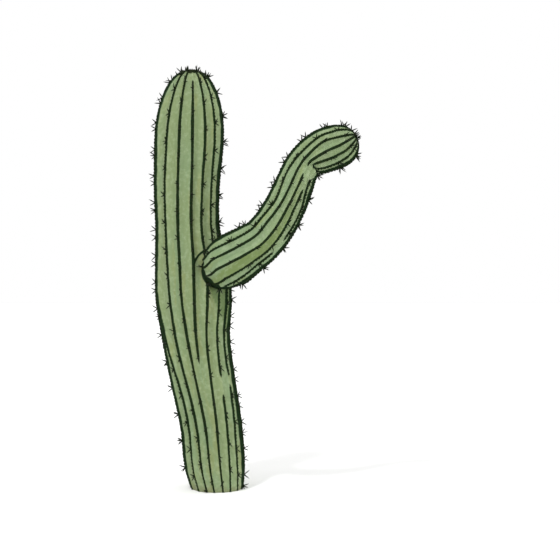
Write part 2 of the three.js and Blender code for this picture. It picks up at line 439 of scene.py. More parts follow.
def noise(points, scale, seed):
    """Smooth noise from about -1 to 1 at each point, from a few seeded waves."""
    own = np.random.default_rng(seed)
    waves, swing = 7, 3.2
    total = np.zeros(len(points))
    for _ in range(waves):
        wave = unit(own.normal(size=3)) * own.uniform(0.6, 1.5) / scale
        total += np.sin(points @ wave * TURN + own.uniform(0, TURN))
    return total / swing


# ---- meshes

def in_scene(name, data):
    """A new object in the scene."""
    made = bpy.data.objects.new(name, data)
    bpy.context.scene.collection.objects.link(made)
    return made


def new_object(name, vertices, faces, material, smooth_faces=True):
    """A mesh object. Its faces are given as arrays, each of faces with one number of corners."""
    mesh = bpy.data.meshes.new(name)
    mesh.vertices.add(len(vertices))
    mesh.vertices.foreach_set("co", np.asarray(vertices, np.float32).ravel())
    loops = np.concatenate([f.ravel() for f in faces])
    totals = np.concatenate([np.full(len(f), f.shape[1]) for f in faces])
    mesh.loops.add(len(loops))
    mesh.loops.foreach_set("vertex_index", loops)
    mesh.polygons.add(len(totals))
    mesh.polygons.foreach_set("loop_start", np.cumsum(totals) - totals)
    mesh.polygons.foreach_set("loop_total", totals)
    mesh.polygons.foreach_set("use_smooth", np.full(len(totals), smooth_faces))
    mesh.update(calc_edges=True)
    mesh.validate()
    mesh.materials.append(material)
    return in_scene(name, mesh)


def store(made, name, values):
    """Keeps one vector for each vertex, for the material to read."""
    attribute = made.data.attributes.new(name, "FLOAT_VECTOR", "POINT")
    attribute.data.foreach_set("vector", np.asarray(values, np.float32).ravel())


def circle(sides):
    """The angles of a ring's corners, in radians."""
    return np.arange(sides) * TURN / sides


def tube_sides(columns):
    """The quads between two rings, whose corners are numbered on."""
    column = np.arange(columns)
    beside = (column + 1) % columns
    return np.stack([column, beside, beside + columns, column + columns], axis=1)


def tip_faces(columns, first, hub):
    """The triangles from a ring's corners, numbered from first on, to a hub."""
    column = np.arange(columns)
    return np.stack([column + first, (column + 1) % columns + first, np.full(columns, hub)], axis=1)


def grid_faces(rings, columns):
    """Quads of a tube of rings, and the triangles of a fan at each end, whose hubs come last."""
    quads = tube_sides(columns) + (np.arange(rings - 1) * columns)[:, None, None]
    start = tip_faces(columns, 0, rings * columns)[:, [2, 1, 0]]
    end = tip_faces(columns, (rings - 1) * columns, rings * columns + 1)[:, [2, 0, 1]]
    return quads.reshape(-1, 4), np.concatenate([start, end])


def skin_points(limb, at):
    """What the skin's mesh is made from, ring by column: each point's angle, how far it lies inside the
    crests and from the nearest one, how much of a strip that one has, and how far it lies on a flank.
    The crests' radius at each ring comes last."""
    angles, share = crests(limb, at)
    strips = cover(limb, at)
    count = angles.shape[1]
    radius = crest_radius(limb, at)
    r = radius[:, None]
    around = np.concatenate([angles, angles + TURN, angles + 2 * TURN], axis=1)
    v = np.arange(COLUMNS_PER_RIB) / COLUMNS_PER_RIB
    across = v - GATHER * np.sin(TURN * v)
    columns = []
    for k in range(count):
        a, b = around[:, k + count, None], around[:, k + count + 1, None]
        before, after = around[:, k + count - 1, None], around[:, k + count + 2, None]
        angle = a + (b - a) * across
        own, other = share[:, k, None], share[:, (k + 1) % count, None]
        between = furrow(a, b, angle, r)
        past_other = furrow(a, after, angle, r)
        past_own = furrow(before, b, angle, r)
        drop = own * other * between + (1 - other) * past_other + (1 - own) * past_own
        drop = drop * furrow_share(at)[:, None]
        to_a, to_b = (angle - a) * r, (b - angle) * r
        nearer_a = to_a < to_b
        near = np.where(nearer_a, to_a, to_b)
        strength = np.where(nearer_a, strips[:, k, None], strips[:, (k + 1) % count, None])
        flank = on_flank(np.where(nearer_a, a, b))
        columns.append((angle, drop, near, strength, flank))
    angle, drop, near, strength, flank = (np.concatenate(parts, axis=1) for parts in zip(*columns))
    return angle - TURN, drop, near, strength, flank, radius


def fine_relief(at, drop, near, strength, radius, rough):
    """How far the relief that the CAD solids leave out lifts the skin."""
    bead = BEAD_HEIGHT * np.clip(1 - (near / BEAD_HALF_WIDTH) ** 2, 0, 1) * strength
    tubercle = np.clip(1 - (near / (TUBERCLE_BREADTH * BEAD_HALF_WIDTH)) ** 2, 0, 1) * strength
    beat = 0.5 + 0.5 * np.cos(TURN * at / AREOLE_STEP)[:, None]
    uneven = UNEVEN * 0.5 * rough * np.clip(drop / FURROW_MOST + 0.3, 0, 1)
    bands = BAND_HEIGHT * np.sin(TURN * at / BAND_LENGTH + 1.7 * np.sin(at * 4.1))[:, None]
    room = smoothstep(radius, *RELIEF_RADII)[:, None]
    return room * (bead + TUBERCLE_HEIGHT * (tubercle * beat - 0.5) + uneven + bands)


def plain_surface(limb):
    """A coarse smooth hull of a limb's crests, to measure distances from."""
    columns, ring_step = 72, 0.012
    at = even_places(limb, ring_step)[:-1]
    angle = np.broadcast_to(circle(columns), (len(at), columns))
    reach = np.broadcast_to(crest_radius(limb, at)[:, None], angle.shape)
    points = place_on(limb, at, angle, reach).reshape(-1, 3)
    quads, fans = grid_faces(len(at), columns)
    corners = [Vector(p) for p in [*points, centre(limb, at[:1])[0], pole_of(limb)]]
    return BVHTree.FromPolygons(corners, quads.tolist() + fans.tolist())


def clearance(surface, points, reach=0.12):
    """How far each point lies outside a surface, up to a reach."""
    flat = np.asarray(points).reshape(-1, 3)
    gaps = np.full(len(flat), reach)
    for i, p in enumerate(flat):
        spot, normal, _, distance = surface.find_nearest(p, reach)
        if spot is not None:
            side = (p[0] - spot.x) * normal.x + (p[1] - spot.y) * normal.y + (p[2] - spot.z) * normal.z
            gaps[i] = math.copysign(distance, side)
    return gaps.reshape(np.shape(points)[:-1])


def side_fold(at, angle, radius):
    """How near each point of the trunk's skin is to its short fold: 1 on it, 0 away from it."""
    t = np.clip((at[:, None] - FOLD_START[0]) / (FOLD_END[0] - FOLD_START[0]), 0, 1)
    line = FOLD_START[1] + (FOLD_END[1] - FOLD_START[1]) * t ** FOLD_BEND
    turned = (angle - line + math.pi) % TURN - math.pi
    sideways = np.abs(turned) * radius[:, None]
    inside = (at[:, None] >= FOLD_START[0]) & (at[:, None] <= FOLD_END[0])
    return np.where(inside, np.clip(1 - sideways / FOLD_HALF_WIDTH, 0, 1), 0)


def pinch(at, angle):
    """How deeply the arm's skin is drawn in at its fold: most on the underside, none on top."""
    across = (at[:, None] - ARM_FOLD) / PINCH_WIDTH
    under = smoothstep(np.cos(angle - PINCH_ANGLE), -0.15, 0.75)
    return np.exp(-(across ** 2)) * under


def outward_normals(points):
    """The normals of a tube of rings, place by column."""
    along = np.gradient(points, axis=0)
    across = np.roll(points, -1, axis=1) - np.roll(points, 1, axis=1)
    normals = unit(np.cross(across, along))
    outward = np.sum(normals * (points - points.mean(axis=1, keepdims=True)))
    return -normals if outward < 0 else normals


def collar(at, angle, radius):
    """The collar of painted shade round the arm's root, from 0 to 1."""
    normals = outward_normals(place_on(ARM, at, angle, np.broadcast_to(radius[:, None], angle.shape)))
    forward = -normals[..., 1]
    upright = unit(normals[..., [0, 2]] + 1e-9)
    low_side = upright @ unit(np.array(COLLAR_LOW_SIDE))
    edge = COLLAR_FORWARD + COLLAR_MORE_FORWARD * smoothstep(low_side, 0.80, 1.0)
    shade = 1 - smoothstep(forward, edge, edge + COLLAR_SOFTNESS)
    shade = shade * (1 - smoothstep(-forward, *COLLAR_BACK))
    end = COLLAR_LENGTH + COLLAR_MORE_LENGTH * smoothstep(-upright[..., 1], -0.3, 0.5)
    return shade * (1 - smoothstep(at[:, None], end, end + COLLAR_FADE))


def painted_arm_shadow(points, gap):
    """1 where the arm's base keeps the main light off the trunk's skin, 0 where the light falls on it:
    the arm's shadow, which is painted into the trunk's colour.
    """
    towards = Vector(KEY_LIGHT).normalized()
    shade = np.zeros(gap.shape)
    for i, j in np.argwhere((gap > SHADE_BAND[0]) & (gap < SHADE_BAND[1])):
        spot, _, _, _ = ARM_SURFACE.ray_cast(Vector(points[i, j]), towards, SHADE_REACH)
        shade[i, j] = spot is not None
    return shade


TRUNK_SURFACE = plain_surface(TRUNK)
ARM_SURFACE = plain_surface(ARM)


def trunk_by_the_arm(at, angle, radius, reach):
    """The trunk skin's reach with the crease, lip and fold beside the arm, how strong the shade painted
    along the crease and the fold are at each point, and where the arm's shadow is to be painted."""
    gap = clearance(ARM_SURFACE, place_on(TRUNK, at, angle, reach))
    below = smoothstep(CREASE_DOUBLES_BELOW - at, 0, CREASE_DOUBLES_OVER)[:, None]
    # The crease's painted shade, broader below the arm.
    crease = 1 - smoothstep(np.abs(gap), CREASE_INNER, CREASE_OUTER * (1 + below))
    lip = np.exp(-(((gap - LIP_PLACE) / LIP_WIDTH) ** 2))
    fold = side_fold(at, angle, radius)
    reach = reach + LIP_HEIGHT * lip - CREASE_DEPTH * crease
    reach = reach + FOLD_HEIGHT * smoothstep(fold, 0, 1)
    # The arm's shadow from the main light, which is painted into the trunk's green.
    shade = painted_arm_shadow(place_on(TRUNK, at, angle, reach), gap)
    return reach, crease, fold, shade


def arm_by_the_trunk(at, angle, radius, reach):
    """The arm skin's reach with its fold drawn in, and how strong the shade painted in its creases and
    collar is at each point.
    """
    deep = pinch(at, angle)
    reach = reach - PINCH_DEPTH * deep
    gap = clearance(TRUNK_SURFACE, place_on(ARM, at, angle, reach))
    # Shade painted near the trunk, in the collar and in the fold under the bend.
    root = np.maximum(1 - smoothstep(gap, *ARM_CREASE), collar(at, angle, radius))
    return reach, np.maximum(root, PINCH_DARK * smoothstep(deep, 0.35, 0.95))


def make_skin(name, limb, step, seed, material):
    """A limb's ribbed skin, with two vectors at each vertex for its material to read: where the vertex
    would be if the limb were straight, and the marks it bears (strip, shade painted in the creases,
    and a deeper green in the furrows and in the arm's painted shadow)."""
    at = even_places(limb, step)[:-1]
    angle, drop, near, strength, flank, radius = skin_points(limb, at)
    straight = np.stack([
        np.cos(angle) * radius[:, None],
        np.sin(angle) * radius[:, None],
        np.broadcast_to(at[:, None], angle.shape),
    ], axis=-1).reshape(-1, 3)
    rough = noise(straight, UNEVEN_LENGTHS[0], seed) + 0.5 * noise(straight, UNEVEN_LENGTHS[1], seed + 1)
    rough = rough.reshape(angle.shape)
    reach = radius[:, None] - drop + fine_relief(at, drop, near, strength, radius, rough)
    half_width = strip_half_width(limb, at, flank) * (1 + STRIP_UNEVEN * rough)
    strip = np.clip(1 - near / half_width, 0, 1) * strength
    deeper = FURROW_GREEN * smoothstep(drop / FURROW_MOST, 0.25, 1.0)
    if limb is TRUNK:
        reach, crease, fold, shade = trunk_by_the_arm(at, angle, radius, reach)
        strip = np.maximum(strip, FOLD_DARK * fold)
        # The arm's shadow is painted into the trunk's green.
        deeper = np.maximum(deeper, ARM_SHADOW_PAINT * shade)
    else:
        reach, crease = arm_by_the_trunk(at, angle, radius, reach)
    rings, columns = angle.shape
    points = place_on(limb, at, angle, reach).reshape(-1, 3)
    vertices = np.concatenate([points, centre(limb, at[:1]), [pole_of(limb)]])
    if limb is TRUNK:
        # The foot's cut is flat on the ground.
        vertices[:, 2] = np.maximum(vertices[:, 2], 0)
        vertices[:columns, 2] = 0
    made = new_object(name, vertices, grid_faces(rings, columns), material)
    marks = np.stack([strip, crease, deeper], axis=-1).reshape(-1, 3)
    store(made, "straight", np.concatenate([straight, [[0, 0, 0], [0, 0, limb["length"]]]]))
    store(made, "marks", np.concatenate([marks, [[0, 0, 0], [1, 0, 0]]]))
    return made


# ---- areoles and spines

def crest_rows(limb, first_seed):
    """The areoles along every crest: their places, and the directions out, along and across there."""
    least_share, jitter = 0.45, 0.9
    fine = even_places(limb, ROW_PLACES_STEP)[:-1]
    angles, _ = crests(limb, fine)
    share = cover(limb, fine)
    radius = crest_radius(limb, fine)
    rows = []
    for k in range(angles.shape[1]):
        points = place_on(limb, fine, angles[:, k:k + 1], radius[:, None])[:, 0]
        run = np.concatenate([[0], np.cumsum(np.linalg.norm(np.diff(points, axis=0), axis=1))])
        own = np.random.default_rng(first_seed + k)
        # Areoles stand closer together where the newest growth is.
        pace = 1 - AREOLE_CLOSER * (1 - smoothstep(run[-1] - run, *NEWEST_GROWTH))
        count = np.concatenate([[0], np.cumsum(np.diff(run) / (AREOLE_STEP * pace[1:]))])
        stops = np.interp(np.arange(own.uniform(0.3, 1.0), count[-1], 1.0), count, np.arange(len(run)))
        stops = stops + own.normal(0, jitter, len(stops))
        i = np.clip(np.round(stops).astype(int), 1, len(run) - 2)
        i = i[share[i, k] > least_share]
        along = unit(points[i + 1] - points[i - 1])
        _, front, side = section_axes(limb, fine[i])
        out = np.cos(angles[i, k, None]) * front + np.sin(angles[i, k, None]) * side
        out = unit(out - np.sum(out * along, axis=1, keepdims=True) * along)
        rows.append({
            "place": points[i] + out * BEAD_HEIGHT * 0.6,
            "out": out,
            "along": along,
            "across": np.cross(out, along),
            "radius": radius[i],
            "from_tip": run[-1] - run[i],
            "phase": (k % 2) * STOUT_EVERY // 2 + int(own.integers(3)),
        })
    return rows


def visible(limb, rows):
    """Drops what lies inside the other limb, or under the ground."""
    clear, off_ground = 0.004, 0.012
    for row in rows:
        gap = clearance(ARM_SURFACE if limb is TRUNK else TRUNK_SURFACE, row["place"])
        keep = (gap > clear) & (row["place"][:, 2] > off_ground)
        row["order"] = np.arange(len(keep))[keep]
        for key in ("place", "out", "along", "across", "radius", "from_tip"):
            row[key] = row[key][keep]
    return rows


def areole_mesh(rows):
    """A low felted cushion on every areole: a dome of two rings and a tip, closed underneath."""
    sides = AREOLE_SIDES
    ring = np.stack([np.cos(circle(sides)), np.sin(circle(sides))], axis=1)
    template = np.concatenate([
        np.column_stack([ring, np.full(sides, -0.25)]),
        np.column_stack([ring * 0.78, np.full(sides, 0.62)]),
        [[0, 0, 1.0], [0, 0, -0.3]],
    ])
    under = tip_faces(sides, 0, 2 * sides + 1)[:, [1, 0, 2]]
    ends = np.concatenate([tip_faces(sides, sides, 2 * sides), under])
    shapes = []
    for row in rows:
        n = len(row["place"])
        small = 0.5 + 0.5 * smoothstep(row["radius"], 0.02, 0.14)
        size = np.array(AREOLE_HALF) * (small * rng.uniform(0.85, 1.15, n))[:, None]
        wobble = 1 + rng.normal(0, 0.07, (n, len(template), 1))
        shape = template * size[:, None] * wobble
        shapes.append(row["place"][:, None] + shape[..., 0:1] * row["across"][:, None]
                      + shape[..., 1:2] * row["along"][:, None] + shape[..., 2:3] * row["out"][:, None])
    vertices = np.concatenate(shapes)
    base = (np.arange(len(vertices)) * len(template))[:, None, None]
    faces = [(tube_sides(sides) + base).reshape(-1, 4), (ends + base).reshape(-1, 3)]
    return vertices.reshape(-1, 3), faces


def spine_rings(ways, sides, half):
    """The corners of a ring round each spine, as steps from its middle."""
    helper = np.where(np.abs(ways[:, 2:3]) > 0.9, [[1.0, 0, 0]], [[0, 0, 1.0]])
    a = unit(np.cross(ways, helper))
    b = np.cross(ways, a)
    turn = circle(sides)[None, :, None]
    return (np.cos(turn) * a[:, None] + np.sin(turn) * b[:, None]) * half[:, None, None]


def spine_mesh(feet, ways, lengths, thick):
    """Stout spines as closed spikes of a few faces: a foot, a waist and a point."""
    sides = STOUT_SIDES
    rings = spine_rings(ways, sides, thick / 2)
    span = ways * lengths[:, None]
    foot = feet[:, None] + rings
    waist = (feet + span * 0.64)[:, None] + rings * 0.80
    tip = (feet + span)[:, None]
    vertices = np.concatenate([foot, waist, tip], axis=1)
    base = (np.arange(len(feet)) * (2 * sides + 1))[:, None, None]
    quads = (tube_sides(sides) + base).reshape(-1, 4)
    points = (tip_faces(sides, sides, 2 * sides) + base).reshape(-1, 3)
    flat_ends = (np.arange(sides)[::-1] + base).reshape(-1, sides)
    return vertices.reshape(-1, 3), [quads, points, flat_ends]


def needle_mesh(feet, ways, lengths, thick):
    """The finest spines: a three-sided needle of four faces."""
    foot = feet[:, None] + spine_rings(ways, 3, thick / 2)
    tip = (feet + ways * lengths[:, None])[:, None]
    vertices = np.concatenate([foot, tip], axis=1).reshape(-1, 3)
    needle = np.array([[0, 1, 3], [1, 2, 3], [2, 0, 3], [2, 1, 0]])
    base = (np.arange(len(feet)) * 4)[:, None, None]
    return vertices, [(needle + base).reshape(-1, 3)]


def kept_in_reach(feet, ways, lengths):
    """Shortens the spines that would stand too far outside the CAD model's box."""
    least_share = 0.15
    tips = feet + ways * lengths[:, None]
    low = np.array(cad_low) - REACH_PAST_CAD
    high = np.array(cad_high) + REACH_PAST_CAD
    low[2] = LOWEST_POINT
    share = np.ones(len(feet))
    for k in range(3):
        travel = tips[:, k] - feet[:, k]
        over = tips[:, k] > high[k]
        share[over] = np.minimum(share[over], (high[k] - feet[over, k]) / travel[over])
        under = tips[:, k] < low[k]
        share[under] = np.minimum(share[under], (low[k] - feet[under, k]) / travel[under])
    return lengths * np.clip(share, least_share, 1)


def degrees_in(bounds):
    """An angle drawn between two bounds in degrees, in radians."""
    return math.radians(rng.uniform(*bounds))


def stout_spines(rows):
    """The strong spines of every few areoles: two or three that fork along the crest, and a shorter one
    to a side."""
    feet, ways, lengths, thick = [], [], [], []

    def add_spine(row, i, up, over, length, thickness):
        out, along, across = row["out"][i], row["along"][i], row["across"][i]
        level = out * math.cos(over) + across * math.sin(over)
        feet.append(row["place"][i] + along * 0.005 * math.sin(up) + across * 0.004 * math.sin(over))
        ways.append(level * math.cos(up) + along * math.sin(up))
        lengths.append(length)
        thick.append(thickness * rng.uniform(0.88, 1.12))

    for row in rows:
        picked = (row["order"] + row["phase"]) % STOUT_EVERY == 0
        picked &= row["from_tip"] > STOUT_FROM_TIP
        for i in np.flatnonzero(picked):
            spread = degrees_in(FORK_SPREAD)
            tilt = degrees_in(FORK_TILT)
            for lean in ((-1, 1) if rng.random() < PAIR_SHARE else (-1.1, 0.1, 1.1)):
                over = degrees_in(FORK_SWAY)
                add_spine(row, i, tilt + spread * lean, over, rng.uniform(*STOUT_LENGTH), STOUT_THICK)
            over = rng.choice((-1, 1)) * degrees_in(SIDE_TURN)
            up = degrees_in(SIDE_RISE)
            add_spine(row, i, up, over, rng.uniform(*SIDE_LENGTH), SIDE_THICK)
    feet, ways = np.array(feet), unit(np.array(ways))
    lengths = kept_in_reach(feet, ways, np.array(lengths))
    return feet, ways, lengths, np.array(thick)


def fine_spines(rows):
    """The short spines that lie spread round every areole."""
    feet, ways, lengths, thick = [], [], [], []
    for row in rows:
        n = len(row["place"])
        for j in range(FINE_PER_AREOLE):
            turn = TURN * (j + rng.uniform(-0.3, 0.3, n)) / FINE_PER_AREOLE
            rise = np.radians(rng.uniform(*FINE_RISE, n))
            flat = np.cos(turn)[:, None] * row["across"] + np.sin(turn)[:, None] * row["along"]
            feet.append(row["place"] + row["out"] * 0.0015 + flat * 0.003)
            ways.append(flat * np.cos(rise)[:, None] + row["out"] * np.sin(rise)[:, None])
            lengths.append(rng.uniform(*FINE_LENGTH, n))
            thick.append(FINE_THICK * rng.uniform(0.8, 1.2, n))
    feet, ways = np.concatenate(feet), unit(np.concatenate(ways))
    lengths = kept_in_reach(feet, ways, np.concatenate(lengths))
    return feet, ways, lengths, np.concatenate(thick)


def tip_cap(name, limb, cap_radius, material):
    """The felt that covers the newest growth on a limb's tip: a thin uneven cushion on the pole."""
    rings, columns = 15, 64
    spread = np.linspace(1.0, 0.0, rings + 1)[:-1] * cap_radius
    at = dome_places(limb, spread)
    turn = circle(columns)
    ragged = 0.10 * np.sin(turn * 7 + 1) + 0.07 * np.sin(turn * 13 + 2)
    radius = spread[:, None] * (1 + ragged * (spread[:, None] / cap_radius) ** 2)
    heading, _, _ = section_axes(limb, at)
    points = place_on(limb, at, np.broadcast_to(turn, (rings, columns)), radius)
    swell = CAP_THICK * np.sqrt(np.clip(1 - (spread / cap_radius) ** 2, 0, 1)) - 0.002
    lumps = np.random.default_rng(CAP_SEED).normal(0, 0.0010, (rings, columns))
    points = points + heading[:, None] * (swell[:, None] + lumps)[..., None]
    way = section_axes(limb, np.array([limb["length"]]))[0][0]
    hubs = [points[0].mean(axis=0) - way * 0.012, pole_of(limb) + way * CAP_THICK]
    vertices = np.concatenate([points.reshape(-1, 3), hubs])
    return new_object(name, vertices, grid_faces(rings, columns), material)


def cap_spines(limb, cap_radius, count, lengths, thick):
    """Spines that stand in the felt on a tip, and lean out from its middle."""
    heading, front, side = (axis[0] for axis in section_axes(limb, np.array([limb["length"]])))
    spread = cap_radius * 1.15 * np.sqrt(rng.uniform(0, 1, count))
    at = dome_places(limb, spread)
    turn = rng.uniform(0, TURN, count)
    flat = np.cos(turn)[:, None] * front + np.sin(turn)[:, None] * side
    feet = centre(limb, at) + flat * spread[:, None] + heading * 0.003
    lean = np.radians(rng.uniform(0, CAP_LEAN, count)) * np.clip(spread / cap_radius, 0.2, 1)
    ways = heading * np.cos(lean)[:, None] + flat * np.sin(lean)[:, None]
    lengths = kept_in_reach(feet, ways, rng.uniform(*lengths, count))
    return feet, ways, lengths, np.full(count, thick)


def joined(*sets):
    """Several sets of spines as one."""
    return tuple(np.concatenate(parts) for parts in zip(*sets))


# ---- materials

class Nodes:
    """Builds one material's node tree with few words."""

    def __init__(self, name):
        self.material = bpy.data.materials.new(name)
        self.material.use_nodes = True
        self.tree = self.material.node_tree
        self.shader = self.tree.nodes["Principled BSDF"]

    def add(self, kind, inputs=None, **settings):
        node = self.tree.nodes.new(kind)
        for key, value in settings.items():
            setattr(node, key, value)
        for key, value in (inputs or {}).items():
            self.put(node.inputs[key], value)
        return node

    def put(self, socket, value):
        if isinstance(value, bpy.types.NodeSocket):
            self.tree.links.new(value, socket)
        else:
            socket.default_value = value

    def attribute(self, name):
        return self.add("ShaderNodeAttribute", attribute_name=name).outputs["Vector"]

    def here(self):
        """Where a point is, in its own object's metres."""
        return self.add("ShaderNodeTexCoord").outputs["Object"]

    def split(self, vector):
        return self.add("ShaderNodeSeparateXYZ", {0: vector}).outputs

    def stretched(self, vector, along):
        """The straight limb's place, with its length scaled."""
        return self.add("ShaderNodeMapping", {"Vector": vector, "Scale": (1.0, 1.0, along)}).outputs[0]

    def noise(self, vector, scale, detail=4.0, rough=0.55):
        inputs = {"Vector": vector, "Scale": scale, "Detail": detail, "Roughness": rough}
        return self.add("ShaderNodeTexNoise", inputs).outputs["Fac"]

    def ramp(self, value, low, high, to_low=0.0, to_high=1.0):
        inputs = {"Value": value, "From Min": low, "From Max": high, "To Min": to_low, "To Max": to_high}
        return self.add("ShaderNodeMapRange", inputs, interpolation_type="SMOOTHSTEP").outputs["Result"]

    def patches(self, vector, scale, low, high, most=1.0, detail=4.0, rough=0.55):
        """Soft patches of noise: 0 where it is under low, and most where it is over high."""
        return self.ramp(self.noise(vector, scale, detail, rough), low, high, 0.0, most)

    def spots(self, vector, scale, outer, inner, most):
        """Small spots, one in each cell: 0 beyond the outer distance, and most within the inner one."""
        cells = self.add("ShaderNodeTexVoronoi", {"Vector": vector, "Scale": scale})
        return self.ramp(cells.outputs["Distance"], outer, inner, 0.0, most)

    def math(self, operation, a, b):
        return self.add("ShaderNodeMath", {0: a, 1: b}, operation=operation).outputs[0]

    def times(self, a, b):
        return self.math("MULTIPLY", a, b)

    def mix(self, factor, a, b):
        node = self.add("ShaderNodeMix", data_type="RGBA")
        self.put(node.inputs["Factor"], factor)
        self.put(node.inputs["A"], a)
        self.put(node.inputs["B"], b)
        return node.outputs["Result"]

    def bump(self, height, strength, distance, normal=None):
        inputs = {"Height": height, "Strength": strength, "Distance": distance}
        if normal is not None:
            inputs["Normal"] = normal
        return self.add("ShaderNodeBump", inputs).outputs["Normal"]

    def finish(self, **inputs):
        for key, value in inputs.items():
            self.put(self.shader.inputs[key.replace("_", " ")], value)
        return self.material


def colour(r, g, b):
    """A colour given as it looks on a screen, 0 to 255, as the shader takes it."""
    def linear(c):
        c /= 255
        return c / 12.92 if c <= 0.04045 else ((c + 0.055) / 1.055) ** 2.4
    return (linear(r), linear(g), linear(b), 1.0)


# The olive of the shade painted along one of the arm's furrows.
SHADE_STREAK_OLIVE = colour(108, 126, 68)
WAX = colour(176, 190, 158)
GRAIN = colour(96, 114, 78)
# The deeper green of the furrows, also the colour of the arm's shadow painted on the trunk.
DEEP_GREEN = colour(78, 100, 54)
SCAR = colour(158, 146, 104)
NICK = colour(74, 70, 44)
CORK = colour(124, 116, 84)
DARK_CORK = colour(92, 88, 62)
# The dark of the crests' strips, also painted as shade into the creases.
STRIP = colour(13, 34, 10)
SOIL = colour(30, 30, 18)


def drifts(n, streaked, green, blue_green, olive):
    """Broad drifts of blue-green and olive, drawn out along the limb."""
    base = n.mix(n.patches(streaked, 7.0, 0.38, 0.66), green, blue_green)
    return n.mix(n.patches(streaked, 15.0, 0.50, 0.72, 0.8, detail=5.0), base, olive)


def olive_shade_streak(n, base, straight, streaked):
    """Painted shade: one furrow of the arm's lower half is a darker olive, from the swollen base to half
    way up.
    """
    x, y, along = n.split(straight)
    turned = n.math("ADD", n.math("ARCTAN2", y, x), n.times(n.noise(streaked, 20.0), 0.10))
    there = n.times(n.ramp(turned, 0.16, 0.30), n.ramp(turned, 0.66, 0.56))
    there = n.times(there, n.ramp(along, 0.06, 0.16))
    there = n.times(there, n.ramp(along, 0.92, 0.60, 0.0, 0.75))
    return n.mix(there, base, SHADE_STREAK_OLIVE)


def weathered_and_shaded(n, base, straight, deeper):
    """The skin's thin bloom of wax, rubbed off in small patches, its fine grain, its deeper green in the
    furrows and in the arm's shadow painted on the trunk, and a few pale scars and dark nicks."""
    base = n.mix(n.patches(straight, 34.0, 0.44, 0.70, 0.30, detail=6.0, rough=0.65), base, WAX)
    base = n.mix(n.patches(straight, 420.0, 0.35, 0.65, 0.16, detail=3.0), base, GRAIN)
    # Deeper green in the furrows, and the arm's painted shadow on the trunk.
    base = n.mix(deeper, base, DEEP_GREEN)
    scars = n.spots(straight, 46.0, 0.075, 0.035, 0.75)
    base = n.mix(n.times(scars, n.patches(straight, 9.0, 0.56, 0.62, detail=2.0)), base, SCAR)
    nicks = n.spots(n.stretched(straight, 2.6), 27.0, 0.060, 0.028, 0.8)
    return n.mix(n.times(nicks, n.patches(straight, 6.0, 0.60, 0.66, detail=2.0)), base, NICK)


def cork_share(n, straight, streaked, cork_height):
    """Corky bark that creeps up from the foot in ragged tongues: how much of it there is."""
    height = n.split(straight)[2]
    ragged = n.math("ADD", height, n.times(n.noise(streaked, 16.0, 6.0), -cork_height * 1.6))
    return n.ramp(ragged, 0.0, -cork_height * 0.75, 0.0, 0.42)


def skin_bumps(n, straight, cork, strip):
    """Pores, shallow wrinkles across the limb, and the roughness of cork and of the strips."""
    pores = n.noise(straight, 900.0, 2.0)
    wrinkles = n.noise(n.stretched(straight, 4.5), 62.0, 5.0, 0.6)
    cracks = n.times(cork, n.noise(n.stretched(straight, 0.35), 120.0, 6.0, 0.7))
    felt = n.times(strip, n.noise(straight, 260.0, 3.0))
    normal = n.bump(pores, 0.25, 0.0006)
    normal = n.bump(wrinkles, 0.70, 0.0036, normal)
    return n.bump(n.math("ADD", cracks, felt), 0.7, 0.003, normal)


def skin_material(name, green, blue_green, olive, cork_height, shade_streak):
    """A limb's skin, with the worn, felt-stained strip along each crest and shade painted into the deep
    creases.
    """
    n = Nodes(name)
    straight = n.attribute("straight")
    strip, crease, deeper = n.split(n.attribute("marks"))
    streaked = n.stretched(straight, 0.16)
    base = drifts(n, streaked, green, blue_green, olive)
    if shade_streak:
        # Shade painted along one furrow of the arm.
        base = olive_shade_streak(n, base, straight, streaked)
    base = weathered_and_shaded(n, base, straight, deeper)
    cork = cork_share(n, straight, streaked, cork_height)
    base = n.mix(cork, base, n.mix(n.noise(straight, 60.0, 5.0), CORK, DARK_CORK))
    frayed = n.times(n.math("SUBTRACT", n.noise(straight, 190.0, 4.0), 0.5), 0.55)
    strip = n.ramp(n.math("ADD", strip, frayed), 0.18, 0.38)
    base = n.mix(strip, base, STRIP)
    # Shade painted into the creases and the collar round the arm's root.
    base = n.mix(n.ramp(crease, 0.15, 0.60), base, STRIP)
    rough = n.ramp(n.noise(straight, 55.0, 4.0), 0.3, 0.7, 0.50, 0.66)
    dull = n.times(n.math("MAXIMUM", strip, crease), 0.95)
    rough = n.math("MAXIMUM", rough, dull)
    normal = skin_bumps(n, straight, cork, strip)
    return n.finish(Base_Color=base, Roughness=rough, Normal=normal, Specular_IOR_Level=0.16)


def felt_material(name, dark, pale):
    """Felt of short hairs, with soil caught in it."""
    n = Nodes(name)
    here = n.here()
    tone = n.mix(n.patches(here, 60.0, 0.35, 0.70), dark, pale)
    tone = n.mix(n.patches(here, 900.0, 0.40, 0.62, 0.5, detail=2.0), tone, SOIL)
    normal = n.bump(n.noise(here, 1300.0, 3.0, 0.7), 0.8, 0.0010)
    return n.finish(Base_Color=tone, Roughness=0.95, Normal=normal, Specular_IOR_Level=0.05)


def spine_material(name, dark, pale):
    """Hard spines, some a little paler than others."""
    n = Nodes(name)
    here = n.here()
    tone = n.mix(n.patches(here, 45.0, 0.35, 0.68, detail=3.0), dark, pale)
    normal = n.bump(n.noise(here, 700.0, 2.0), 0.3, 0.0004)
    rough = n.ramp(n.noise(here, 80.0, 2.0), 0.3, 0.7, 0.42, 0.62)
    return n.finish(Base_Color=tone, Roughness=rough, Normal=normal, Specular_IOR_Level=0.15)


def floor_material():
    """The studio's floor, near white."""
    n = Nodes("studio_floor")
    tone = n.mix(n.noise(n.here(), 3.0, 3.0), (0.94, 0.94, 0.935, 1), (0.965, 0.965, 0.96, 1))
    return n.finish(Base_Color=tone, Roughness=0.9, Specular_IOR_Level=0.1)


# ---- the plant

